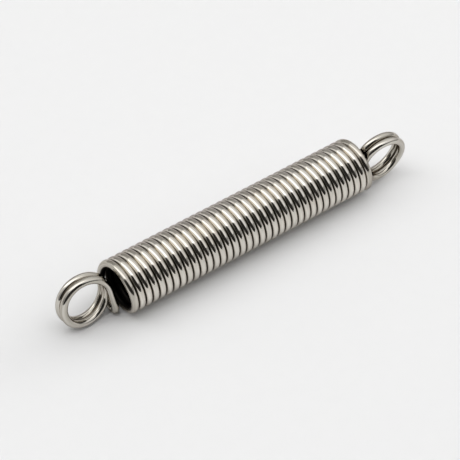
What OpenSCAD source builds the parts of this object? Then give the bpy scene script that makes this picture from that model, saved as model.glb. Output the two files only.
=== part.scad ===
// Extension spring: one length of round wire, close-wound into a long body,
// with a double-turn eye at each end reached by a strand that crosses over
// the centre. Lies along X, resting on Z = 0, with the front eye at -X and the
// middle of its length at X = 0.

/* [Wire] */
// Diameter of the round wire, mm
wire_d = 1.6; // [1.3:0.1:1.7]
// Clear gap left between neighbouring turns, mm
turn_gap = 0.03; // [0.02:0.01:0.1]

/* [Coil body] */
// Mean diameter of the body's turns, mm
coil_d = 10.4; // [10:0.1:11.4]
// Full turns between the two end half-turns
turns = 36; // [24:1:40]

/* [Front eye] */
// Mean diameter of the eye's turns, mm
front_eye_d = 10.3; // [9:0.1:10.8]
// How far the last half-turn leans out along the axis, mm
front_lean = 1.5; // [1:0.1:1.8]
// How much of the last half-turn there is before the foot bend, degrees
front_turn = 178; // [166:1:178]
// Length of the straight strand that crosses over the centre, mm
front_strand = 4.7; // [4.2:0.1:5.2]
// How far the wire runs round the eye, degrees
front_wrap = 722; // [690:1:730]

/* [Rear eye] */
// Mean diameter of the eye's turns, mm
rear_eye_d = 9.4; // [9:0.1:10.8]
// How far the last half-turn leans out along the axis, mm
rear_lean = 0.9; // [0.9:0.1:1.8]
// How much of the last half-turn there is before the foot bend, degrees
rear_turn = 167; // [166:1:178]
// Length of the straight strand that crosses over the centre, mm
rear_strand = 5.2; // [4.2:0.1:5.4]
// How far the wire runs round the eye, degrees
rear_wrap = 696; // [690:1:730]

/* [End bends] */
// Centre-line radius of the tight bend at the foot of each strand, mm
foot_r = 1.3; // [1:0.05:1.6]
// Outward slope of the crossing strand, degrees
strand_slope = 6; // [2:0.5:10]
// Turn of each eye's plane about the spring's axis, degrees
eye_roll = 9; // [0:0.5:14]

/* [Hidden] */
pitch = wire_d + turn_gap;
coil_r = coil_d / 2;
length_turns = turns * pitch;
rest_z = coil_r + wire_d / 2;
// Every second length of wire is drawn this much thinner in radius and runs
// this far into its neighbours, so that each joint closes cleanly.
joint_step = 0.004;
joint_lap = 0.05;
$fa = 6;
$fs = 0.25;

function unit(v) = v / norm(v);

// A bend is [start, heading, unit vector to the bend's centre, radius, angle].
function bend_end(b) = b[0] + b[3] * b[2] * (1 - cos(b[4])) + b[3] * b[1] * sin(b[4]);
function bend_heading(b) = b[2] * sin(b[4]) + b[1] * cos(b[4]);

// Half-turn from point p heading h, ending at p + v.
function half_turn(p, h, v, angle = 180) = [p, h, unit(v), norm(v) / 2, angle];

// Body half-turn number k, counted from the front, alternately down and up.
function body_bend(k) =
    let (s = k % 2 == 0 ? 1 : -1)
    half_turn([k * pitch / 2, 0, s * coil_r], [0, -s, 0], [pitch / 2, 0, -2 * s * coil_r]);

// Last half-turn at the front, leaning out along -X and stopping short of the bottom.
function lean_bend(lean, turn) =
    half_turn([0, 0, coil_r], [0, 1, 0], [-lean, 0, -2 * coil_r], turn);

// Axes of the eye's plane, turned about the spring's axis.
eye_up = [0, sin(eye_roll), cos(eye_roll)];
eye_side = [0, cos(eye_roll), -sin(eye_roll)];
strand_dir = [-sin(strand_slope), 0, 0] + cos(strand_slope) * eye_up;
strand_in = [-cos(strand_slope), 0, 0] - sin(strand_slope) * eye_up;

// Tight bend that turns the end of the lean half-turn up into the crossing strand.
function foot_bend(lean, turn) =
    let (
        b = lean_bend(lean, turn),
        h = bend_heading(b),
        along = strand_dir * h
    )
    [bend_end(b), h, unit(strand_dir - along * h), foot_r, acos(along)];

// Half-turn number k of the eye, from the top end of the strand.
function eye_bend(start, eye_d, wrap, k) =
    let (
        s = k % 2 == 0 ? 1 : -1,
        across = s == 1 ? [0, 0, 0] : eye_d * strand_in,
        p = start + across + k * pitch / 2 * eye_side
    )
    half_turn(p, s * strand_dir, s * eye_d * strand_in + pitch / 2 * eye_side,
        min(180, wrap - 180 * k));

// How far one end reaches outward from its last full turn.
function reach(eye_d, lean, turn, strand) =
    wire_d / 2 + eye_d / 2
    - (bend_end(foot_bend(lean, turn)) + strand * strand_dir + eye_d / 2 * strand_in)[0];
front_reach = reach(front_eye_d, front_lean, front_turn, front_strand);
rear_reach = reach(rear_eye_d, rear_lean, rear_turn, rear_strand);

// Round wire following one bend; inner = true for the slightly thinner lengths.
module bent_wire(b, inner)
{
    c = b[0] + b[3] * b[2];
    x = -b[2];
    y = b[1];
    z = cross(x, y);
    lap = inner ? joint_lap / b[3] * 180 / PI : 0;
    multmatrix([
        [x[0], y[0], z[0], c[0]],
        [x[1], y[1], z[1], c[1]],
        [x[2], y[2], z[2], c[2]],
        [0, 0, 0, 1]
    ])
        rotate([0, 0, -lap])
            rotate_extrude(angle = b[4] + 2 * lap)
                translate([b[3], 0])
                    circle(r = wire_d / 2 - (inner ? joint_step : 0));
}

// Straight round wire from p along the unit direction d.
module straight_wire(p, d, length, inner)
{
    x = unit(cross([0, 1, 0], d));
    w = cross(d, x);
    lap = inner ? joint_lap : 0;
    multmatrix([
        [x[0], w[0], d[0], p[0]],
        [x[1], w[1], d[1], p[1]],
        [x[2], w[2], d[2], p[2]],
        [0, 0, 0, 1]
    ])
        translate([0, 0, -lap])
            cylinder(h = length + 2 * lap, r = wire_d / 2 - (inner ? joint_step : 0));
}

// Everything outside the body's full turns at one end, drawn as the front end.
module wire_end(eye_d, lean, turn, strand, wrap, inner)
{
    foot = foot_bend(lean, turn);
    low = bend_end(foot);
    bent_wire(lean_bend(lean, turn), inner);
    bent_wire(foot, !inner);
    straight_wire(low, strand_dir, strand, inner);
    for (k = [0 : ceil(wrap / 180) - 1])
        bent_wire(eye_bend(low + strand * strand_dir, eye_d, wrap, k), k % 2 == 0 ? !inner : inner);
}

module spring()
{
    color([0.75, 0.74, 0.72])
        translate([(front_reach - length_turns - rear_reach) / 2, 0, rest_z]) {
            for (k = [0 : 2 * turns - 1])
                bent_wire(body_bend(k), k % 2 == 1);
            wire_end(front_eye_d, front_lean, front_turn, front_strand, front_wrap, true);
            translate([length_turns, 0, 0])
                rotate([0, 0, 180])
                    wire_end(rear_eye_d, rear_lean, rear_turn, rear_strand, rear_wrap, false);
        }
}

spring();
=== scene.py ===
import math

import bpy
import numpy as np
from mathutils import Matrix, Vector


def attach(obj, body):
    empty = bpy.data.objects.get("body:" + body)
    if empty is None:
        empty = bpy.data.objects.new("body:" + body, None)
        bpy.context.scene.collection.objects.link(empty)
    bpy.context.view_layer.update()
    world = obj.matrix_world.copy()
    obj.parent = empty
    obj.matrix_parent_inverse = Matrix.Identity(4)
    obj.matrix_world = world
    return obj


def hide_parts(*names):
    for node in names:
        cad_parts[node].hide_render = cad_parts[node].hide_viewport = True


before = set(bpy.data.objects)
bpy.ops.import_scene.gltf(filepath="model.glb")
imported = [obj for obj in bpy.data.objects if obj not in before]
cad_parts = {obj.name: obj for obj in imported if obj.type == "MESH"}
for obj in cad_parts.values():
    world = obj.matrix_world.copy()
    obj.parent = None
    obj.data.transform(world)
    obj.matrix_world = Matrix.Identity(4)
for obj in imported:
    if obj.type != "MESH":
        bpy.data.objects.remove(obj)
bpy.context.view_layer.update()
scene = bpy.context.scene
scene.view_settings.view_transform = "Standard"


# The camera: a long lens about 0.4 m away, looking down at 45 degrees on the
# front eye's side. It was set from the spacing of the turns, which shrinks
# towards the rear eye, and from the outline of the coil body.
PHOTO_WIDTH = 460
SENSOR_WIDTH = 36.0
FOCAL_PIXELS = 1966.0
CAMERA_DISTANCE = 0.3987
CAMERA_TURN = math.radians(36.2)
CAMERA_HEIGHT_ANGLE = math.radians(45.5)
AIM_POINT = Vector((0.000696, 0.0, 0.006))
AIM_PIXEL = (238.3, 224.5)

right = Vector((math.cos(CAMERA_TURN), -math.sin(CAMERA_TURN), 0.0))
ahead = Vector((
    math.sin(CAMERA_TURN) * math.cos(CAMERA_HEIGHT_ANGLE),
    math.cos(CAMERA_TURN) * math.cos(CAMERA_HEIGHT_ANGLE),
    -math.sin(CAMERA_HEIGHT_ANGLE),
))
up = right.cross(ahead)
metres_per_pixel = CAMERA_DISTANCE / FOCAL_PIXELS
eye_point = (
    AIM_POINT
    - ahead * CAMERA_DISTANCE
    - right * (AIM_PIXEL[0] - PHOTO_WIDTH / 2) * metres_per_pixel
    + up * (AIM_PIXEL[1] - PHOTO_WIDTH / 2) * metres_per_pixel
)
lens = bpy.data.cameras.new("long_lens")
lens.sensor_width = SENSOR_WIDTH
lens.lens = SENSOR_WIDTH * FOCAL_PIXELS / PHOTO_WIDTH
lens.clip_start = 0.01
lens.clip_end = 20.0
camera = bpy.data.objects.new("camera", lens)
camera.matrix_world = Matrix((
    (right.x, up.x, -ahead.x, eye_point.x),
    (right.y, up.y, -ahead.y, eye_point.y),
    (right.z, up.z, -ahead.z, eye_point.z),
    (0.0, 0.0, 0.0, 1.0),
))
scene.collection.objects.link(camera)
scene.camera = camera


# The table: a wide sheet of pale matt paper with a faint fibre tone. The spring
# lies loose on it, and it runs out past every view.
def linear(hex_colour):
    """An sRGB hex colour as the linear numbers that a shader socket takes."""
    channels = []
    for i in (0, 2, 4):
        c = int(hex_colour[i:i + 2], 16) / 255.0
        channels.append(c / 12.92 if c <= 0.04045 else ((c + 0.055) / 1.055) ** 2.4)
    return (*channels, 1.0)


def add(tree, kind, inputs=None, **settings):
    """Adds one node: its settings by name, then each input as a value or a link."""
    node = tree.nodes.new(kind)
    for name, value in settings.items():
        setattr(node, name, value)
    for key, value in (inputs or {}).items():
        if isinstance(value, bpy.types.NodeSocket):
            tree.links.new(value, node.inputs[key])
        else:
            node.inputs[key].default_value = value
    return node


PAPER_HALF_WIDTH = 4.0
PAPER_COLOUR = "e4e4e4"
PAPER_SHADE = "e2e2e2"
FIBRE_CLUMP = 0.003

# Matt paper: pressed from fibre, so it scatters light evenly and has no shine.
paper = bpy.data.materials.new("matt_paper")
paper.use_nodes = True
tree = paper.node_tree
tree.nodes.clear()
fibre_place = add(tree, "ShaderNodeTexCoord")
fibres = add(tree, "ShaderNodeTexNoise", {
    "Vector": fibre_place.outputs["Object"], "Scale": 1.0 / FIBRE_CLUMP, "Detail": 3.0})
tone = add(tree, "ShaderNodeMix", {
    0: fibres.outputs["Fac"], 6: linear(PAPER_COLOUR), 7: linear(PAPER_SHADE),
}, data_type="RGBA")
sheet = add(tree, "ShaderNodeBsdfDiffuse", {"Color": tone.outputs[2]})
add(tree, "ShaderNodeOutputMaterial", {"Surface": sheet.outputs[0]})

w = PAPER_HALF_WIDTH
table_mesh = bpy.data.meshes.new("table_sheet")
table_mesh.from_pydata(
    [(-w, -w, 0.0), (w, -w, 0.0), (w, w, 0.0), (-w, w, 0.0)], [], [(0, 1, 2, 3)])
table_mesh.materials.append(paper)
table = bpy.data.objects.new("table_sheet", table_mesh)
scene.collection.objects.link(table)


# The studio: a plain pale room, dimmer past the spring's two ends. A white silk
# lit from above hangs a metre over the spring between four stands. Black felt,
# two grey cards and a lit panel stand round it on the table.
ROOM_COLOUR = "f1f1f1"
ROOM_LEVEL = 1.2
ROOM_END_LEVEL = 0.42
ROOM_MIDDLE = 0.06
ROOM_END_POWER = 5.0
SEEN_ROOM_LEVEL = 1.0

world = bpy.data.worlds.new("pale_room")
world.use_nodes = True
scene.world = world
tree = world.node_tree
tree.nodes.clear()
direction = add(tree, "ShaderNodeTexCoord")
direction = add(tree, "ShaderNodeSeparateXYZ", {0: direction.outputs["Generated"]})
sideways = add(tree, "ShaderNodeMath", {
    0: direction.outputs["X"], 1: ROOM_MIDDLE}, operation="SUBTRACT")
sideways = add(tree, "ShaderNodeMath", {0: sideways.outputs[0]}, operation="ABSOLUTE")
end_nearness = add(tree, "ShaderNodeMath", {
    0: sideways.outputs[0], 1: ROOM_END_POWER}, operation="POWER")
room_level = add(tree, "ShaderNodeMapRange", {
    "Value": end_nearness.outputs[0], "To Min": ROOM_LEVEL, "To Max": ROOM_END_LEVEL,
})
ray = add(tree, "ShaderNodeLightPath")
room_level = add(tree, "ShaderNodeMix", {
    0: ray.outputs["Is Camera Ray"], 2: room_level.outputs[0], 3: SEEN_ROOM_LEVEL,
})
room = add(tree, "ShaderNodeBackground", {
    "Color": linear(ROOM_COLOUR), "Strength": room_level.outputs[0],
})
add(tree, "ShaderNodeOutputWorld", {"Surface": room.outputs[0]})


def stand(name, points, faces, material):
    """A flat piece of studio kit that stays out of the picture."""
    mesh = bpy.data.meshes.new(name)
    mesh.from_pydata(points, [], faces)
    mesh.materials.append(material)
    kit = bpy.data.objects.new(name, mesh)
    kit.visible_camera = False
    scene.collection.objects.link(kit)
    return kit


# The silk glows evenly and falls off towards its rims, most on the right.
SILK_LEVEL = 2.35
SILK_RIM_LEVEL = 0.95
SILK_HEIGHT = 1.0
SILK_FRONT = (np.array([-0.72, -0.40]), np.array([0.9, -0.55]))
SILK_BACK = (np.array([-1.5, 1.42]), np.array([-0.42, 1.22]))
SILK_RIMS = (("X", 0.2, 0.52), ("Y", 0.02, 0.16))
SILK_STEPS = 8

silk = bpy.data.materials.new("white_silk")
silk.use_nodes = True
tree = silk.node_tree
tree.nodes.clear()
silk_place = add(tree, "ShaderNodeAttribute", attribute_name="silk_share")
silk_place = add(tree, "ShaderNodeSeparateXYZ", {0: silk_place.outputs["Vector"]})
level = 1.0
for axis, low_rim, high_rim in SILK_RIMS:
    for start, rim, first, last in (
        (0.0, low_rim, 0.0, 1.0),
        (1.0 - high_rim, high_rim, 1.0, 0.0),
    ):
        fall = add(tree, "ShaderNodeMapRange", {
            "Value": silk_place.outputs[axis], "From Min": start, "From Max": start + rim,
            "To Min": first, "To Max": last,
        }, interpolation_type="SMOOTHSTEP")
        level = add(tree, "ShaderNodeMath", {
            0: level, 1: fall.outputs[0]}, operation="MULTIPLY").outputs[0]
level = add(tree, "ShaderNodeMapRange", {
    "Value": level, "To Min": SILK_RIM_LEVEL, "To Max": SILK_LEVEL})
glow = add(tree, "ShaderNodeEmission", {
    "Color": (1.0, 1.0, 1.0, 1.0), "Strength": level.outputs[0]})
add(tree, "ShaderNodeOutputMaterial", {"Surface": glow.outputs[0]})

silk_points = []
silk_share = []
for i in range(SILK_STEPS + 1):
    for j in range(SILK_STEPS + 1):
        a = i / SILK_STEPS
        b = j / SILK_STEPS
        front = (1 - a) * SILK_FRONT[0] + a * SILK_FRONT[1]
        back = (1 - a) * SILK_BACK[0] + a * SILK_BACK[1]
        q = (1 - b) * front + b * back
        silk_points.append((q[0], q[1], SILK_HEIGHT))
        silk_share += [a, b, 0.0]
n = SILK_STEPS + 1
silk_faces = [
    (i * n + j, (i + 1) * n + j, (i + 1) * n + j + 1, i * n + j + 1)
    for i in range(SILK_STEPS) for j in range(SILK_STEPS)
]
silk_sheet = stand("white_silk", silk_points, silk_faces, silk)
silk_map = silk_sheet.data.attributes.new("silk_share", "FLOAT_VECTOR", "POINT")
silk_map.data.foreach_set("vector", silk_share)

# Felt and cards: dyed felt and painted board, matt and even. Each upright one
# stands along X at its distance in Y, and its outline lists corners in X and Z.
FELT_COLOUR = "302f2e"
GREY_CARD_COLOUR = "9c9c9b"
BACK_CARD_COLOUR = "b3b2b0"
FELT_OUTLINE = (
    (-3.0, 0.0), (0.48, 0.0), (0.24, 0.37), (0.09, 0.6), (-0.13, 1.25),
    (-0.47, 1.57), (-0.88, 1.76), (-1.43, 1.9), (-3.0, 2.2),
)
GREY_CARD_OUTLINE = ((0.0, 0.0), (3.0, 0.0), (3.0, 0.45), (0.0, 0.45))
BACK_CARD_OUTLINE = ((-0.35, 0.0), (3.0, 0.0), (3.0, 0.8), (-0.35, 0.8))
for name, board_colour, y, outline in (
    ("black_felt", FELT_COLOUR, -0.8, FELT_OUTLINE),
    ("grey_card", GREY_CARD_COLOUR, -0.81, GREY_CARD_OUTLINE),
    ("pale_grey_card", BACK_CARD_COLOUR, 0.8, BACK_CARD_OUTLINE),
):
    board = bpy.data.materials.new(name)
    board.use_nodes = True
    tree = board.node_tree
    tree.nodes.clear()
    matt = add(tree, "ShaderNodeBsdfDiffuse", {"Color": linear(board_colour)})
    add(tree, "ShaderNodeOutputMaterial", {"Surface": matt.outputs[0]})
    stand(name, [(x, y, z) for x, z in outline], [tuple(range(len(outline)))], board)

# A second sheet of felt lies flat on the table, with no shadow of its own.
FLAT_FELT_X = (-1.0, 0.03)
FLAT_FELT_Y = (-0.78, -0.095)
FELT_THICKNESS = 0.0005
(x0, x1), (y0, y1), z = FLAT_FELT_X, FLAT_FELT_Y, FELT_THICKNESS
flat_felt = stand(
    "felt_on_table", [(x0, y0, z), (x1, y0, z), (x1, y1, z), (x0, y1, z)], [(0, 1, 2, 3)],
    bpy.data.materials["black_felt"])
flat_felt.visible_shadow = False
flat_felt.visible_diffuse = False

# A lit panel past the rear eye fills the shadow there. The metal doesn't mirror it.
FILL_LEVEL = 3.9
FILL_DISTANCE = 1.2
FILL_Y = (-0.45, 0.35)
FILL_HEIGHT = 0.9
fill = bpy.data.materials.new("lit_fill_panel")
fill.use_nodes = True
tree = fill.node_tree
tree.nodes.clear()
glow = add(tree, "ShaderNodeEmission", {"Strength": FILL_LEVEL})
add(tree, "ShaderNodeOutputMaterial", {"Surface": glow.outputs[0]})
x, (y0, y1), z = FILL_DISTANCE, FILL_Y, FILL_HEIGHT
fill_panel = stand(
    "fill_panel", [(x, y0, 0.0), (x, y1, 0.0), (x, y1, z), (x, y0, z)], [(0, 1, 2, 3)], fill)
fill_panel.visible_shadow = False
fill_panel.visible_glossy = False


# The spring's wire: one unbroken length of round drawn spring wire. It is cold
# wound turn against turn, then each end is bent up over the centre and wound
# twice round to make an eye. The sizes are those of the source, in metres.
WIRE_D = 0.0016
PITCH = 0.00163
COIL_D = 0.0104
TURNS = 36
# Each end: eye diameter, lean of the last half-turn, its angle, strand length, eye wrap.
FRONT_END = (0.0103, 0.0015, 178, 0.0047, 722)
REAR_END = (0.0094, 0.0009, 167, 0.0052, 696)
FOOT_RADIUS = 0.0013
STRAND_SLOPE = math.radians(6)
EYE_ROLL = math.radians(9)
LATE_LEAN = 2.5       # a power: the larger, the later the last half-turn leans out
RING_STEP = 5.7       # degrees of bend between two points of the centre line
STRAND_STEPS = 8
WIRE_SIDES = 28


def unit(v):
    """The same direction, one long."""
    return v / np.linalg.norm(v)


def bend(start, heading, inward, radius, degrees):
    """A circular bend that starts at a point, with its centre in the direction inward."""
    def at(angle):
        a = math.radians(angle)
        return start + radius * inward * (1 - math.cos(a)) + radius * heading * math.sin(a)
    steps = max(2, math.ceil(degrees / RING_STEP))
    points = [at(degrees * i / steps) for i in range(steps + 1)]
    a = math.radians(degrees)
    return points, inward * math.sin(a) + heading * math.cos(a)


def half_turn(start, heading, across, degrees=180.0):
    """A bend whose full half-turn ends at start + across."""
    return bend(start, heading, unit(across), np.linalg.norm(across) / 2, degrees)


def wire_end(eye_d, lean, turn, strand, wrap):
    """Centre line of one end, drawn as the front end, from the first full turn outwards."""
    radius = COIL_D / 2
    eye_up = np.array([0.0, math.sin(EYE_ROLL), math.cos(EYE_ROLL)])
    eye_side = np.array([0.0, math.cos(EYE_ROLL), -math.sin(EYE_ROLL)])
    out = np.array([-1.0, 0.0, 0.0])
    strand_dir = math.sin(STRAND_SLOPE) * out + math.cos(STRAND_SLOPE) * eye_up
    strand_in = math.cos(STRAND_SLOPE) * out - math.sin(STRAND_SLOPE) * eye_up
    line, heading = half_turn(
        np.array([0.0, 0.0, radius]), np.array([0.0, 1.0, 0.0]),
        np.array([-lean, 0.0, -2 * radius]), turn)
    # The leaning half-turn keeps to the last turn at first and leaves it near the foot.
    for q in line:
        part = -q[0] / lean
        q[0] = -(part * PITCH / 2 + part ** LATE_LEAN * (lean - PITCH / 2))
    along = float(strand_dir @ heading)
    foot, heading = bend(
        line[-1], heading, unit(strand_dir - along * heading), FOOT_RADIUS,
        math.degrees(math.acos(along)))
    line += foot[1:]
    low = line[-1]
    line += [low + strand_dir * strand * i / STRAND_STEPS for i in range(1, STRAND_STEPS + 1)]
    top = line[-1]
    for k in range(math.ceil(wrap / 180)):
        s = 1 if k % 2 == 0 else -1
        start = top + (0 if s == 1 else eye_d) * strand_in + k * PITCH / 2 * eye_side
        ring, heading = half_turn(
            start, s * strand_dir, s * eye_d * strand_in + PITCH / 2 * eye_side,
            min(180.0, wrap - 180.0 * k))
        line += ring[1:]
    return line


front_end = wire_end(*FRONT_END)
rear_end = wire_end(*REAR_END)
body = []
for k in range(2 * TURNS):
    s = 1 if k % 2 == 0 else -1
    turn_points, _ = half_turn(
        np.array([k * PITCH / 2, 0.0, s * COIL_D / 2]), np.array([0.0, -s, 0.0]),
        np.array([PITCH / 2, 0.0, -s * COIL_D]))
    body += turn_points[1:]
rear_end = [np.array([TURNS * PITCH - q[0], -q[1], q[2]]) for q in rear_end]
centre_line = np.array(front_end[::-1] + body + rear_end[1:])
middle = (centre_line[:, 0].min() + centre_line[:, 0].max()) / 2
centre_line += np.array([-middle, 0.0, (COIL_D + WIRE_D) / 2])
steps = np.linalg.norm(np.diff(centre_line, axis=0), axis=1)
lengths = np.concatenate([[0.0], np.cumsum(steps)])
body_start = float(lengths[len(front_end) - 1])
body_end = float(lengths[len(front_end) - 1 + len(body)])

line_mesh = bpy.data.meshes.new("wire_line")
line_mesh.from_pydata(
    centre_line.tolist(), [(i, i + 1) for i in range(len(centre_line) - 1)], [])
line_object = bpy.data.objects.new("wire_line", line_mesh)
scene.collection.objects.link(line_object)

# Nickel-plated drawn steel wire: bright, with faint draw lines along it. Painted shade
# darkens the bore, the grooves, the eyes' crevices and the back; a lighter straw tone on the
# sides facing the next turn is painted reflection, and painted light lifts the lowest front
# side. The eyes are scuffed by the bending tool, and the cut ends grey.
NICKEL = "cecac2"
NICKEL_WARM = "c3baac"
# Painted light: a lighter tone for the lowest front side of the close-wound coil.
NICKEL_PAINTED_LIGHT = "eae6dd"
# Painted shade: a darker tone for the back of the close-wound coil.
NICKEL_BACK_SHADE = "a49c96"
NICKEL_SCUFFED = "bab5ab"
NICKEL_EDGE = "d2cdcb"
# Painted reflection: a lighter straw tone where a spot faces the next turn, more neutral on
# the far side.
GROOVE_REFLECTION = "dfd9ce"
FAR_GROOVE_REFLECTION = "d4cec5"
# Painted shade: low in the grooves between turns and in the far grooves' bottoms.
GROOVE_SHADE = "4a463f"
# Painted shade: where the turns of an eye, or an eye and its strand, nearly touch.
EYE_CREVICE_SHADE = "7a6d5a"
# Painted shade: the inner side of the coil and its leaning half-turns, near black.
BORE_SHADE = "1c1a18"
CUT_STEEL = "8a8783"
DRAW_LINE_WIDTH = 0.00022   # the real lines are a tenth of this and wouldn't show
DRAW_LINE_LENGTH = 0.006
DRAW_LINE_DEPTH = 0.00004
DRAW_LINE_STRENGTH = 0.15
NOISE_SPAN = (0.3, 0.7)      # where nearly all of the noise's values lie
LINE_TONE = (0.86, 1.06)
LINE_ROUGHNESS = (0.09, 0.045)
TOOL_MARK_WIDTH = 0.0006
TOOL_MARK_EDGE = (0.42, 0.58)
STAIN_SIZE = 0.009
STAIN_EDGE = (0.42, 0.72)
STAIN_SHARE = 0.7
COIL_AXIS_HEIGHT = (COIL_D + WIRE_D) / 2
# Each share's span: where it is nothing, then where it is full. Sides, heights and
# radii are in metres. Facing is the X part of a spot's outward direction.
INSIDE_RADIUS = (0.00496, 0.00468)
GROOVE_REFLECTION_FACING = (0.45, 0.8)
GROOVE_FACING = (0.64, 0.94)
GROOVE_BOTTOM_FACING = (0.76, 0.93)
LOW_HEIGHT = (0.0116, 0.0105)
LOWEST_HEIGHT = (0.009, 0.005)
FRONT_SIDE = (0.001, -0.003)
FAR_SIDE = (-0.0005, 0.002)
FARTHEST_SIDE = (0.002, 0.0044)

nickel = bpy.data.materials.new("nickel_plated_drawn_wire")
nickel.use_nodes = True
tree = nickel.node_tree
tree.nodes.clear()

# Where each finish, painted shade and painted light lies: by height, by side, by distance
# from the coil's axis and by how far a spot faces the next turn. Each row is a share from 0
# to 1.
where = add(tree, "ShaderNodeTexCoord")
spot = add(tree, "ShaderNodeSeparateXYZ", {0: where.outputs["Object"]})
off_axis = add(tree, "ShaderNodeVectorMath", {
    0: where.outputs["Object"], 1: (0.0, 0.0, COIL_AXIS_HEIGHT)}, operation="SUBTRACT")
off_axis = add(tree, "ShaderNodeVectorMath", {
    0: off_axis.outputs[0], 1: (0.0, 1.0, 1.0)}, operation="MULTIPLY")
off_axis = add(tree, "ShaderNodeVectorMath", {0: off_axis.outputs[0]}, operation="LENGTH")
share = {}
for name in ("wound", "coiled", "facing_next", "crevice_shade", "cut_end"):
    share[name] = add(tree, "ShaderNodeAttribute", attribute_name=name).outputs["Fac"]
for name, value, span in (
    ("inside", off_axis.outputs["Value"], INSIDE_RADIUS),
    ("painted_groove_reflection", share["facing_next"], GROOVE_REFLECTION_FACING),
    ("groove", share["facing_next"], GROOVE_FACING),
    ("groove_bottom", share["facing_next"], GROOVE_BOTTOM_FACING),
    ("low", spot.outputs["Z"], LOW_HEIGHT),
    ("lowest", spot.outputs["Z"], LOWEST_HEIGHT),
    ("front", spot.outputs["Y"], FRONT_SIDE),
    ("far", spot.outputs["Y"], FAR_SIDE),
    ("farthest", spot.outputs["Y"], FARTHEST_SIDE),
):
    place = add(tree, "ShaderNodeMapRange", {
        "Value": value, "From Min": span[0], "From Max": span[1],
    }, interpolation_type="SMOOTHSTEP")
    share[name] = place.outputs[0]

# Draw lines and tool marks: noise stretched along the wire, in its own coordinates.
along_wire = add(tree, "ShaderNodeAttribute", attribute_name="along")
along_wire = add(tree, "ShaderNodeMath", {
    0: along_wire.outputs["Fac"], 1: 1.0 / DRAW_LINE_LENGTH}, operation="MULTIPLY")
across_wire = add(tree, "ShaderNodeAttribute", attribute_name="across")
across_wire = add(tree, "ShaderNodeVectorMath", {
    0: across_wire.outputs["Vector"], "Scale": 1.0 / DRAW_LINE_WIDTH}, operation="SCALE")
across_wire = add(tree, "ShaderNodeSeparateXYZ", {0: across_wire.outputs["Vector"]})
line_place = add(tree, "ShaderNodeCombineXYZ", {
    0: across_wire.outputs["X"], 1: across_wire.outputs["Y"], 2: along_wire.outputs[0]})
draw_lines = add(tree, "ShaderNodeTexNoise", {
    "Vector": line_place.outputs[0], "Scale": 1.0, "Detail": 2.0, "Roughness": 0.55})
tool_marks = add(tree, "ShaderNodeTexNoise", {
    "Vector": line_place.outputs[0], "Scale": DRAW_LINE_WIDTH / TOOL_MARK_WIDTH,
    "Detail": 1.0})
tool_marks = add(tree, "ShaderNodeMapRange", {
    "Value": tool_marks.outputs["Fac"],
    "From Min": TOOL_MARK_EDGE[0], "From Max": TOOL_MARK_EDGE[1],
}, interpolation_type="SMOOTHSTEP")
share["marked"] = tool_marks.outputs[0]
stains = add(tree, "ShaderNodeTexNoise", {
    "Vector": where.outputs["Object"], "Scale": 1.0 / STAIN_SIZE,
    "Detail": 3.0, "Roughness": 0.6})
stains = add(tree, "ShaderNodeMapRange", {
    "Value": stains.outputs["Fac"], "From Min": STAIN_EDGE[0], "From Max": STAIN_EDGE[1],
    "To Max": STAIN_SHARE})
share["stained"] = stains.outputs[0]

# Shares put together: a product where both hold, the larger where either does.
# The joined shares place the painted shade in the bore and the grooves, and the painted light
# low on the front.
share["all"] = 1.0
for name, how, first, second in (
    ("bore_shade", "MULTIPLY", "coiled", "inside"),
    ("low_soil", "MULTIPLY", "low", "groove"),
    ("far_groove_shade", "MULTIPLY", "far", "groove_bottom"),
    ("back", "MULTIPLY", "wound", "farthest"),
    ("low_front", "MULTIPLY", "lowest", "front"),
    ("eyes", "SUBTRACT", "all", "wound"),
    ("soil", "MAXIMUM", "low_soil", "far_groove_shade"),
    ("painted_low_light", "MULTIPLY", "low_front", "wound"),
    ("scuffed", "MULTIPLY", "eyes", "marked"),
    ("painted_shade", "MAXIMUM", "soil", "bore_shade"),
):
    joined = add(tree, "ShaderNodeMath", {0: share[first], 1: share[second]}, operation=how)
    share[name] = joined.outputs[0]

# The tones, each laid over the one before by its share.
line_tone = add(tree, "ShaderNodeMapRange", {
    "Value": draw_lines.outputs["Fac"], "From Min": NOISE_SPAN[0], "From Max": NOISE_SPAN[1],
    "To Min": LINE_TONE[0], "To Max": LINE_TONE[1]})
groove_reflection_tone = add(tree, "ShaderNodeMix", {
    0: share["far"], 6: linear(GROOVE_REFLECTION), 7: linear(FAR_GROOVE_REFLECTION)}, data_type="RGBA")
# The stains and the scuffs are the wire's own; the lighter tone on the lowest front side is
# painted light.
colour = linear(NICKEL)
for name, tone in (
    ("stained", linear(NICKEL_WARM)),
    ("painted_low_light", linear(NICKEL_PAINTED_LIGHT)),
    ("scuffed", linear(NICKEL_SCUFFED)),
):
    laid = add(tree, "ShaderNodeMix", {0: share[name], 6: colour, 7: tone}, data_type="RGBA")
    colour = laid.outputs[2]
colour = add(tree, "ShaderNodeVectorMath", {
    0: colour, "Scale": line_tone.outputs[0]}, operation="SCALE").outputs["Vector"]
# Painted shade and painted reflection laid here: the darker back, the lighter straw tone
# facing the next turn, the darker grooves, the eyes' crevices and the near-black bore. The
# cut ends are the steel's own grey.
for name, tone in (
    ("back", linear(NICKEL_BACK_SHADE)),
    ("painted_groove_reflection", groove_reflection_tone.outputs[2]),
    ("soil", linear(GROOVE_SHADE)),
    ("crevice_shade", linear(EYE_CREVICE_SHADE)),
    ("bore_shade", linear(BORE_SHADE)),
    ("cut_end", linear(CUT_STEEL)),
):
    laid = add(tree, "ShaderNodeMix", {0: share[name], 6: colour, 7: tone}, data_type="RGBA")
    colour = laid.outputs[2]

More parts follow.
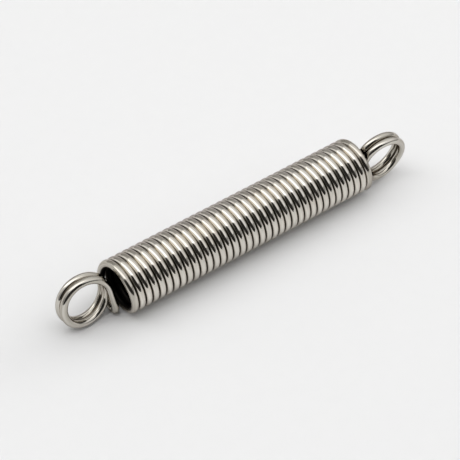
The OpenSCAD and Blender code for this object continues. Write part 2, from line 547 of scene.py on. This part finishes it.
# The shine: smoother on the draw lines' crests, and rougher by each share.
roughness = add(tree, "ShaderNodeMapRange", {
    "Value": draw_lines.outputs["Fac"], "From Min": NOISE_SPAN[0], "From Max": NOISE_SPAN[1],
    "To Min": LINE_ROUGHNESS[0], "To Max": LINE_ROUGHNESS[1]}).outputs[0]
# The share for the painted shade of the grooves and the bore adds roughness too.
for name, added in (
    ("scuffed", 0.07), ("eyes", 0.01), ("back", 0.08), ("painted_shade", 0.35), ("cut_end", 0.3),
):
    roughness = add(tree, "ShaderNodeMath", {
        0: share[name], 1: added, 2: roughness}, operation="MULTIPLY_ADD").outputs[0]
bump = add(tree, "ShaderNodeBump", {
    "Height": draw_lines.outputs["Fac"], "Strength": DRAW_LINE_STRENGTH,
    "Distance": DRAW_LINE_DEPTH})
shader = add(tree, "ShaderNodeBsdfPrincipled", {
    "Base Color": colour, "Metallic": 1.0, "Roughness": roughness,
    "Specular Tint": linear(NICKEL_EDGE), "Normal": bump.outputs[0],
})
add(tree, "ShaderNodeOutputMaterial", {"Surface": shader.outputs[0]})

# The drawing of the wire: a round section swept along the centre line. It marks
# how far along and across the wire each spot is, where the wire is close wound,
# where it is coiled at all, and how far a spot faces the next turn.
WOUND_INSET = 0.004
WOUND_FADE = 0.016
COILED_PAST = 0.017   # the length of the leaning half-turn and part of the foot
COILED_FADE = 0.003

drawing = bpy.data.node_groups.new("drawn_wire", "GeometryNodeTree")
drawing.interface.new_socket("Line", in_out="INPUT", socket_type="NodeSocketGeometry")
for size in ("Wire diameter", "Wound from", "Wound to", "Wound fade",
             "Coiled from", "Coiled to", "Coiled fade"):
    drawing.interface.new_socket(size, in_out="INPUT", socket_type="NodeSocketFloat")
drawing.interface.new_socket("Sides", in_out="INPUT", socket_type="NodeSocketInt")
drawing.interface.new_socket("Wire", in_out="OUTPUT", socket_type="NodeSocketGeometry")
entry = add(drawing, "NodeGroupInput")
radius = add(drawing, "ShaderNodeMath", {
    0: entry.outputs["Wire diameter"], 1: 2.0}, operation="DIVIDE")
curve = add(drawing, "GeometryNodeMeshToCurve", {"Mesh": entry.outputs["Line"]})
curve_place = add(drawing, "GeometryNodeSplineParameter")
curve = add(drawing, "GeometryNodeStoreNamedAttribute", {
    "Geometry": curve.outputs[0], "Name": "along", "Value": curve_place.outputs["Length"],
}, data_type="FLOAT", domain="POINT")
section = add(drawing, "GeometryNodeCurvePrimitiveCircle", {
    "Resolution": entry.outputs["Sides"], "Radius": radius.outputs[0]})
section_place = add(drawing, "GeometryNodeInputPosition")
section = add(drawing, "GeometryNodeStoreNamedAttribute", {
    "Geometry": section.outputs[0], "Name": "across", "Value": section_place.outputs[0],
}, data_type="FLOAT_VECTOR", domain="POINT")
tube = add(drawing, "GeometryNodeCurveToMesh", {
    "Curve": curve.outputs[0], "Profile Curve": section.outputs[0], "Fill Caps": True})
length = add(
    drawing, "GeometryNodeInputNamedAttribute", {"Name": "along"}, data_type="FLOAT")
stretches = []
for stretch in ("Wound", "Coiled"):
    ends = []
    for edge, how in (("from", "ADD"), ("to", "SUBTRACT")):
        edge = entry.outputs[f"{stretch} {edge}"]
        inner = add(drawing, "ShaderNodeMath", {
            0: edge, 1: entry.outputs[f"{stretch} fade"]}, operation=how)
        ends.append(add(drawing, "ShaderNodeMapRange", {
            "Value": length.outputs[0], "From Min": edge, "From Max": inner.outputs[0],
        }, interpolation_type="SMOOTHSTEP"))
    stretches.append(add(drawing, "ShaderNodeMath", {
        0: ends[0].outputs[0], 1: ends[1].outputs[0]}, operation="MULTIPLY"))
wound, coiled = stretches
facing = add(drawing, "GeometryNodeInputNormal")
facing = add(drawing, "ShaderNodeSeparateXYZ", {0: facing.outputs[0]})
facing = add(drawing, "ShaderNodeMath", {0: facing.outputs["X"]}, operation="ABSOLUTE")
facing = add(drawing, "ShaderNodeMath", {
    0: facing.outputs[0], 1: wound.outputs[0]}, operation="MULTIPLY")
for name, value in (("wound", wound), ("coiled", coiled), ("facing_next", facing)):
    tube = add(drawing, "GeometryNodeStoreNamedAttribute", {
        "Geometry": tube.outputs[0], "Name": name, "Value": value.outputs[0],
    }, data_type="FLOAT", domain="POINT")
tube = add(drawing, "GeometryNodeSetShadeSmooth", {"Geometry": tube.outputs[0]})
tube = add(drawing, "GeometryNodeRealizeInstances", {"Geometry": tube.outputs[0]})
tube = add(drawing, "GeometryNodeSetMaterial", {
    "Geometry": tube.outputs[0], "Material": nickel})
add(drawing, "NodeGroupOutput", {0: tube.outputs[0]})

modifier = line_object.modifiers.new("drawn_wire", "NODES")
modifier.node_group = drawing
sizes = {
    "Wire diameter": WIRE_D,
    "Wound from": body_start + WOUND_INSET,
    "Wound to": body_end - WOUND_INSET,
    "Wound fade": WOUND_FADE,
    "Coiled from": body_start - COILED_PAST,
    "Coiled to": body_end + COILED_PAST,
    "Coiled fade": COILED_FADE,
    "Sides": WIRE_SIDES,
}
for item in drawing.interface.items_tree:
    if item.name in sizes:
        modifier[item.identifier] = sizes[item.name]
ready = line_object.evaluated_get(bpy.context.evaluated_depsgraph_get())
wire_mesh = bpy.data.meshes.new_from_object(ready)
wire_mesh.name = "spring_wire"
line_object.modifiers.remove(modifier)
bpy.data.objects.remove(line_object)

# Painted shade also darkens where the turns of an eye, or an eye and its strand, nearly
# touch: wherever the clear gap to another part of the wire is small.
GAP_FULL_SHADE = 0.00008
GAP_CLEAR = 0.0005
SAME_STRETCH = 0.006   # closer than this along the wire, it is the same length of wire
MARK_STEP = 0.0001
places = np.empty(len(wire_mesh.vertices) * 3)
wire_mesh.vertices.foreach_get("co", places)
places = places.reshape(-1, 3)
along = np.empty(len(places))
wire_mesh.attributes["along"].data.foreach_get("value", along)
crevice_shade = np.zeros(len(places))
for first, last in ((0.0, body_start), (body_end, lengths[-1])):
    marks = np.arange(first, last, MARK_STEP)
    line = np.stack(
        [np.interp(marks, lengths, centre_line[:, axis]) for axis in range(3)], axis=1)
    here = np.flatnonzero((along >= first) & (along <= last))
    for i in here:
        apart = np.linalg.norm(line - places[i], axis=1)
        apart[np.abs(marks - along[i]) < SAME_STRETCH] = np.inf
        gap = apart.min() - WIRE_D / 2
        crevice_shade[i] = min(1.0, max(0.0, (GAP_CLEAR - gap) / (GAP_CLEAR - GAP_FULL_SHADE)))
crevice_shade_map = wire_mesh.attributes.new("crevice_shade", "FLOAT", "POINT")
crevice_shade_map.data.foreach_set("value", crevice_shade * crevice_shade)

# The two cut ends are flat. They are the only faces with more than four corners.
cut_marks = wire_mesh.attributes.new("cut_end", "FLOAT", "FACE")
for face in wire_mesh.polygons:
    if len(face.vertices) > 4:
        face.use_smooth = False
        cut_marks.data[face.index].value = 1.0
wire = bpy.data.objects.new("spring_wire", wire_mesh)
scene.collection.objects.link(wire)
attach(wire, "root")
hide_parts("spring")
